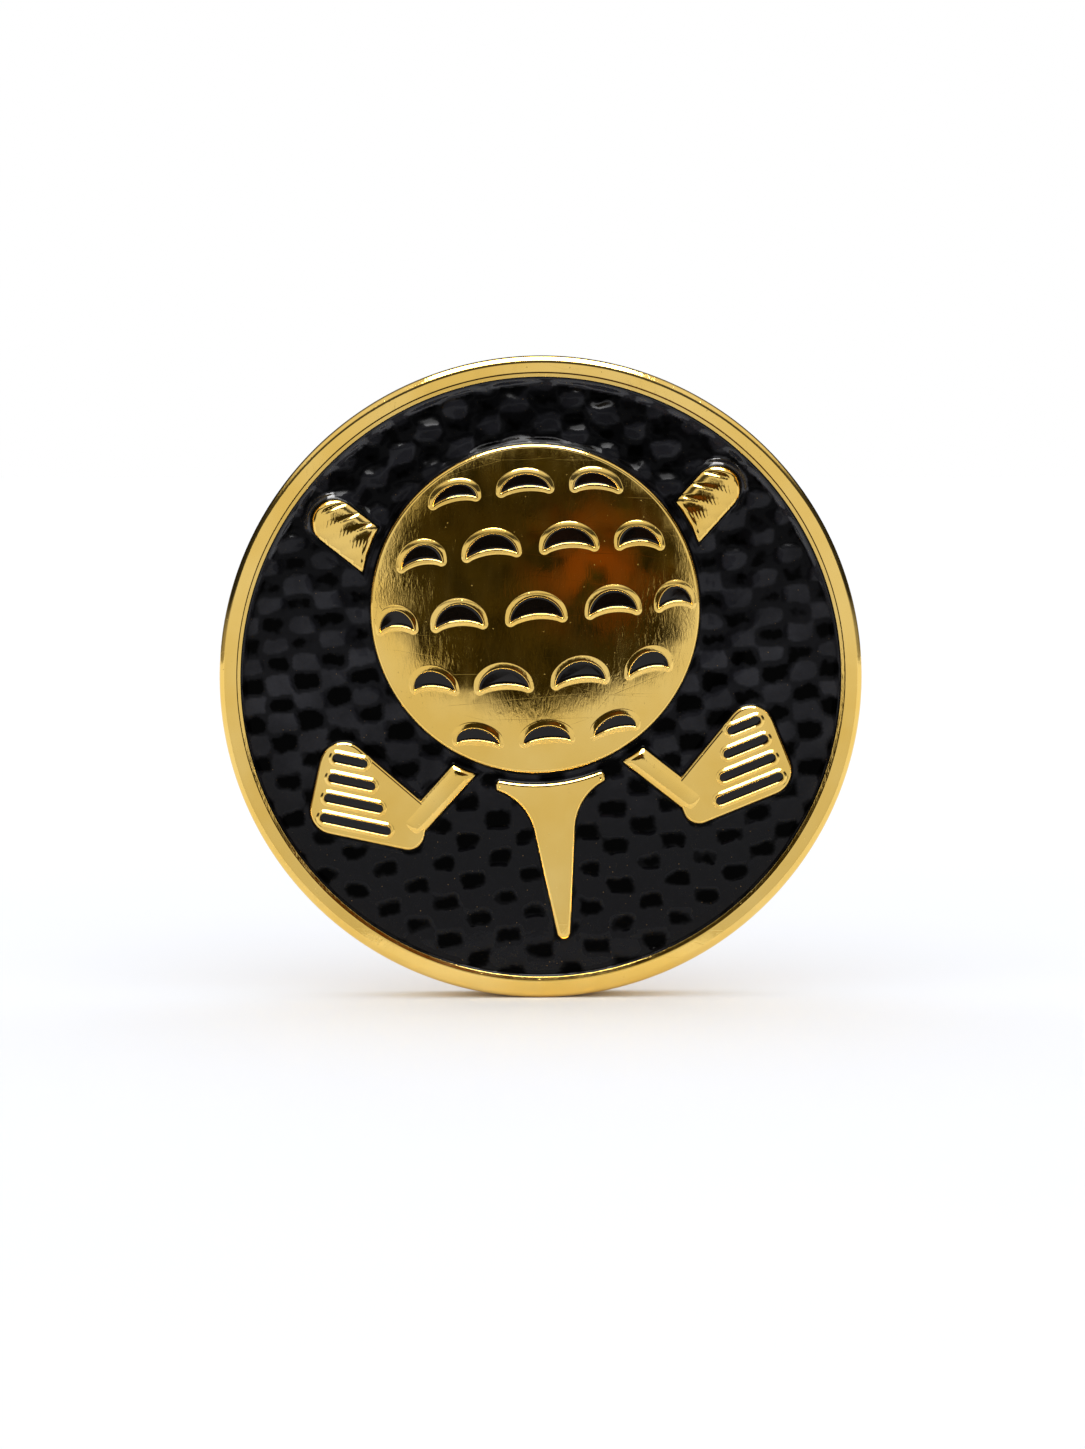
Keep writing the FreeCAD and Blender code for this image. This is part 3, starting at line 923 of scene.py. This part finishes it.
# A closed slab: fine rings beside the metal, an even net between them, walls and a plain underside.
def makeFieldEnamel():
    rimLine = circle(coin["fieldRadius"], enamel["rimSegments"])
    borders = [(rimLine, -1)] + [(outline, 1) for outline in islandOutlines()]
    verts = []
    faces = []
    distances = []
    inner = []
    floors = []
    for outline, outward in borders:
        count = len(outline)
        ring = offset(outline, enamel["rings"][0] * outward)
        last = addRing(verts, ring, coin["fieldFloor"] + enamel["clearance"])
        floors.append((last, ring))
        distances += [0.0] * count
        for distance in enamel["rings"]:
            ring = offset(outline, distance * outward)
            here = addRing(verts, ring, coin["enamelLevel"])
            distances += [max(distance, 0.0)] * count
            faces += ringFaces(last, here, count)
            last = here
        inner.append((last, ring))
    fillLoops(verts, faces, inner, lambda points: coin["enamelLevel"], enamel["net"])
    metal = searchTree(np.vstack([resample(outline, enamel["metalSpacing"]) for outline, _ in borders]))
    distances += [metal.find((u, v, 0))[2] for u, v, _ in verts[len(distances):]]
    fillLoops(verts, faces, floors, lambda points: coin["fieldFloor"] + enamel["clearance"], 0)
    shape = smoothMesh("fieldEnamel", verts, faces)
    shape.attributes.new("edgeDistance", "FLOAT", "POINT").data.foreach_set("value", distances)
    onTop = [bool(w > coin["fieldFloor"] + 2 * enamel["clearance"]) for _, _, w in verts]
    shape.attributes.new("onTop", "BOOLEAN", "POINT").data.foreach_set("value", onTop)
    faceOutward(shape, fine["merge"])
    result = runTree(shape, weaveTree(), weave)
    print("field enamel:", len(result.polygons), "faces")
    finishPiece("fieldEnamel", result, ["field_enamel"])


# A small pool: flat in the middle, with its surface drawn up where it meets the metal.
pours = {"depth": 0.4,
         "section": ((-0.015, 0.05), (0.02, 0.035), (0.05, 0.018), (0.09, 0.006), (0.13, 0.0))}


def pour(outline, top):
    verts = []
    faces = []
    count = len(outline)
    last = addRing(verts, offset(outline, -pours["section"][0][0]), top - pours["depth"])
    faces.append(tuple(range(count - 1, -1, -1)))
    for inset, rise in pours["section"]:
        here = addRing(verts, offset(outline, -inset), top + rise)
        faces += ringFaces(last, here, count)
        last = here
    faces.append(tuple(range(last, last + count)))
    return verts, faces, 0


def makeScoreEnamel(look):
    parts = []
    names = []
    for side, word in ((1, "left"), (-1, "right")):
        for index, line in enumerate(scoreLines(side)):
            parts.append(pour(line, plateLevel - scores["sink"]))
            names.append("score_enamel_%s_%d" % (word, index + 1))
    makePiece("scoreEnamel", parts, [look], names)


ballPours = {"Ball Radius": ball["radius"], "Wrap": dimples["wrap"], "Crown Radius": crownRadius,
             "Crown": ball["crown"]}


# One pour at each dimple's centre, wrapped on the ball and lifted to its crowned top.
def dimplePourTree(master, look):
    tree, add, given = geometryTree("dimplePours", ballPours)
    source = add("GeometryNodeObjectInfo", {"Object": master}).outputs["Geometry"]
    copies = add("GeometryNodeInstanceOnPoints", {"Points": given[0], "Instance": source})
    single = add("GeometryNodeRealizeInstances", {"Geometry": copies})
    axes = add("SeparateXYZ", [add("GeometryNodeInputPosition")]).outputs
    flat = add("CombineXYZ", [axes[0], axes[1]])
    reach = add("VectorMath", [flat], "LENGTH")
    reach = add("Math", [reach, 1e-6], "MAXIMUM")
    bend = add("Math", [given["Wrap"], given["Ball Radius"]], "DIVIDE")
    angle = add("Math", [reach, bend], "MULTIPLY")
    wide = add("Math", [add("Math", [angle], "SINE"), given["Ball Radius"]], "MULTIPLY")
    narrow = add("Math", [add("Math", [given["Wrap"]], "SINE"), reach], "MULTIPLY")
    shrink = add("Math", [wide, narrow], "DIVIDE")
    wrapped = add("VectorMath", [flat, shrink], "SCALE")
    away = add("VectorMath", [wrapped], "LENGTH")
    away = add("Math", [away, artScale], "MULTIPLY")
    square = add("Math", [away, 2.0], "POWER")
    full = add("Math", [given["Crown Radius"], 2.0], "POWER")
    rest = add("Math", [full, square], "SUBTRACT")
    level = add("Math", [add("Math", [rest], "SQRT"), given["Crown Radius"]], "SUBTRACT")
    for more in (given["Crown"], axes[2]):
        level = add("Math", [level, more], "ADD")
    target = add("VectorMath", [wrapped, add("CombineXYZ", {"Z": level})], "ADD")
    moved = add("GeometryNodeSetPosition", {"Geometry": single, "Position": target})
    finished = add("GeometryNodeSetMaterial", {"Geometry": moved, "Material": look})
    add("NodeGroupOutput", {0: finished})
    return tree


def makeDimpleEnamel(look):
    verts, faces, _ = pour(crescent(), -dimples["sink"])
    master = addObject("dimplePourMaster", smoothMesh("dimplePour", verts, faces))
    middles = dimpleCentres()
    centres = smoothMesh("dimpleCentres", sharp(middles))
    result = runTree(centres, dimplePourTree(master, look), ballPours)
    bpy.data.objects.remove(master)
    result.transform(
        Matrix.Translation((0, 0, plateLevel))
        @ Matrix.Rotation(math.radians(coin["artTurn"]), 4, "Z")
        @ Matrix.Diagonal((artScale, artScale, 1, 1))
        @ Matrix.Translation((*ball["centre"], 0))
    )
    names = ["dimple_enamel_%02d" % (index + 1) for index in range(len(middles))]
    finishPiece("dimpleEnamel", result, names)


makeStruckBody()
print("struck body made")
makeFieldEnamel()
print("field enamel made")
poolEnamel = blackSoftEnamelPoured()
makeScoreEnamel(poolEnamel)
makeDimpleEnamel(poolEnamel)
print("small pours made")


# A white paper floor under an even white sky. In reflections the sky has a dim band above eye
# level, a large lamp overhead, and a small card before the coin with a dim round middle.
studio = {
    "lens": 100.0, "distance": 0.2017, "azimuth": -2.0, "elevation": 4.0, "lookAt": (0.00009, 0.0, 0.0136),
    "floorHalf": 3.0, "paper": ("#F1F3F8", "#F4F6FB"), "paperTone": 30.0,
    "sky": 1.13, "skyTint": (1, 0.98, 0.95, 1), "band": 0.06, "wall": 0.78, "wallRise": (0.08, 0.2),
    "ceiling": 0.8, "ceilingRise": (0.5, 0.64), "sides": 0.4, "sideReach": (0.7, 0.95),
    "behind": 0.3, "behindReach": (0.15, 0.5),
    "lampSize": (0.2, 0.34), "lampPlace": (0.0, -0.1, 0.3), "lampPower": 3.6,
}
frontCard = {
    "half": 0.034, "away": -0.0215, "low": 0.0006, "high": 0.0335, "softTop": 0.001,
    "bright": 0.82, "foot": 0.66, "footTop": 0.018,
    "dimPlace": (0.0006, 0.021), "dimSize": (0.0106, 0.0097), "dimEdge": (1.24, 1.38),
    "cloudSize": 7.0, "cloudiness": 0.3, "raggedSize": 1.3, "raggedness": 0.36,
    "olive": ((0.016, 0.013, 0.003, 1), (0.05, 0.038, 0.009, 1)), "brown": (0.2, 0.06, 0.006, 1),
    "brownPlace": (0.0045, 0.0215), "brownSize": 0.0065, "blotchSize": 2.4,
}


def addSheet(name, low, high):
    corners = [low, (high[0], *low[1:]), high, (low[0], *high[1:])]
    return addObject(name, smoothMesh(name, corners, [(0, 1, 2, 3)]))


def makeFloor():
    half = studio["floorHalf"]
    floor = addSheet("paperFloor", (-half, -half, 0), (half, half, 0))
    material, add, place = startMaterial("whitePaper")
    tone = add("TexNoise", [place, perMm(studio["paperTone"])])
    base = add("Mix", [tone, *map(colour, studio["paper"])], **inColour)
    finishMaterial(add, [], {"Base Color": base, "Roughness": 0.9, "Specular IOR Level": 0.0})
    floor.data.materials.append(material)


def makeSky():
    world = bpy.data.worlds.new("whiteStudio")
    bpy.context.scene.world = world
    add = clearNodes(world)
    ray = add("LightPath").outputs
    way = add("SeparateXYZ", [add("TexCoord").outputs["Generated"]]).outputs
    wall = add("MapRange", [way[2], *studio["wallRise"], studio["wall"], studio["band"]], **eased)
    ceiling = add("MapRange", [way[2], *studio["ceilingRise"], 0.0, studio["ceiling"]], **eased)
    bright = add("Math", [wall, ceiling], "ADD")
    aside = add("Math", [way[0]], "ABSOLUTE")
    for toward, reach, least in ((aside, "sideReach", "sides"), (way[1], "behindReach", "behind")):
        dimmed = add("MapRange", [toward, *studio[reach], 1.0, studio[least]], **eased)
        bright = add("Math", [bright, dimmed], "MULTIPLY")
    glossy = add("Background", {"Color": studio["skyTint"], "Strength": bright})
    soft = add("Background", {"Color": (1, 1, 1, 1), "Strength": studio["sky"]})
    seen = add("Background", {"Color": (1, 1, 1, 1)})
    indirect = add("MixShader", [ray["Is Glossy Ray"], soft, glossy])
    add("OutputWorld", {"Surface": add("MixShader", [ray["Is Camera Ray"], indirect, seen])})


def makeLamp():
    light = bpy.data.lights.new("overheadLamp", "AREA")
    light.shape = "RECTANGLE"
    light.size, light.size_y = studio["lampSize"]
    light.energy = studio["lampPower"]
    lamp = addObject("overheadLamp", light)
    lamp.location = studio["lampPlace"]
    lamp.visible_camera = False
    lamp.visible_diffuse = False


# The card glows, and is seen only in reflections.
def makeCard():
    half, away, low, high = (frontCard[word] for word in ("half", "away", "low", "high"))
    card = addSheet("frontCard", (-half, away, low), (half, away, high))
    material = bpy.data.materials.new("frontCardGlow")
    add = clearNodes(material)
    place = add("TexCoord").outputs["Object"]
    rise = add("SeparateXYZ", [place]).outputs[2]
    (dimX, dimZ), (wide, tall) = frontCard["dimPlace"], frontCard["dimSize"]
    reach = add("VectorMath", [place, (dimX, 0, dimZ)], "SUBTRACT")
    reach = add("VectorMath", [reach, (1 / wide, 0, 1 / tall)], "MULTIPLY")
    reach = add("VectorMath", [reach], "LENGTH")
    clouds = add("TexNoise", [place, perMm(frontCard["cloudSize"])])
    ragged = add("TexNoise", [place, perMm(frontCard["raggedSize"]), 4.0])
    for noise, amount in ((clouds, "cloudiness"), (ragged, "raggedness")):
        reach = add("Math", [noise, frontCard[amount], reach], "MULTIPLY_ADD")
    light = add("MapRange", [reach, *frontCard["dimEdge"]], **eased)
    brownX, brownZ = frontCard["brownPlace"]
    spot = add("VectorMath", [place, (brownX, away, brownZ)], "SUBTRACT")
    spot = add("VectorMath", [spot], "LENGTH")
    brown = add("MapRange", [spot, 0.0, frontCard["brownSize"], 1.0, 0.0], **eased)
    blotch = cloud(add, place, perMm(frontCard["blotchSize"]), 3.0, 0.42, 0.56)
    brown = add("Math", [brown, blotch], "MULTIPLY")
    mottle = add("MapRange", [ragged, 0.36, 0.64])
    olive = add("Mix", [mottle, *frontCard["olive"]], **inColour)
    dim = add("Mix", [brown, olive, frontCard["brown"]], **inColour)
    bright = add("MapRange", [rise, 0.0, frontCard["footTop"], frontCard["foot"], frontCard["bright"]])
    full = add("CombineColor", [bright] * 3)
    glow = add("Emission", {"Color": add("Mix", [light, dim, full], **inColour)})
    ending = add("MapRange", [rise, high - frontCard["softTop"], high, 1.0, 0.0], **eased)
    add("OutputMaterial", {"Surface": add("MixShader", [ending, add("BsdfTransparent"), glow])})
    card.data.materials.append(material)
    for flag in ("visible_camera", "visible_diffuse", "visible_shadow", "visible_transmission"):
        setattr(card, flag, False)


def makeCamera():
    data = bpy.data.cameras.new("studioCamera")
    data.lens = studio["lens"]
    data.clip_start = 0.001
    camera = addObject("studioCamera", data)
    azimuth, elevation = math.radians(studio["azimuth"]), math.radians(studio["elevation"])
    back = Vector((math.sin(azimuth) * math.cos(elevation), -math.cos(azimuth) * math.cos(elevation),
                   math.sin(elevation)))
    camera.location = Vector(studio["lookAt"]) + back * studio["distance"]
    camera.rotation_euler = back.to_track_quat("Z", "Y").to_euler()
    bpy.context.scene.camera = camera


makeFloor()
makeSky()
makeLamp()
makeCard()
makeCamera()
bpy.context.scene.view_settings.view_transform = "Standard"
print("studio made")
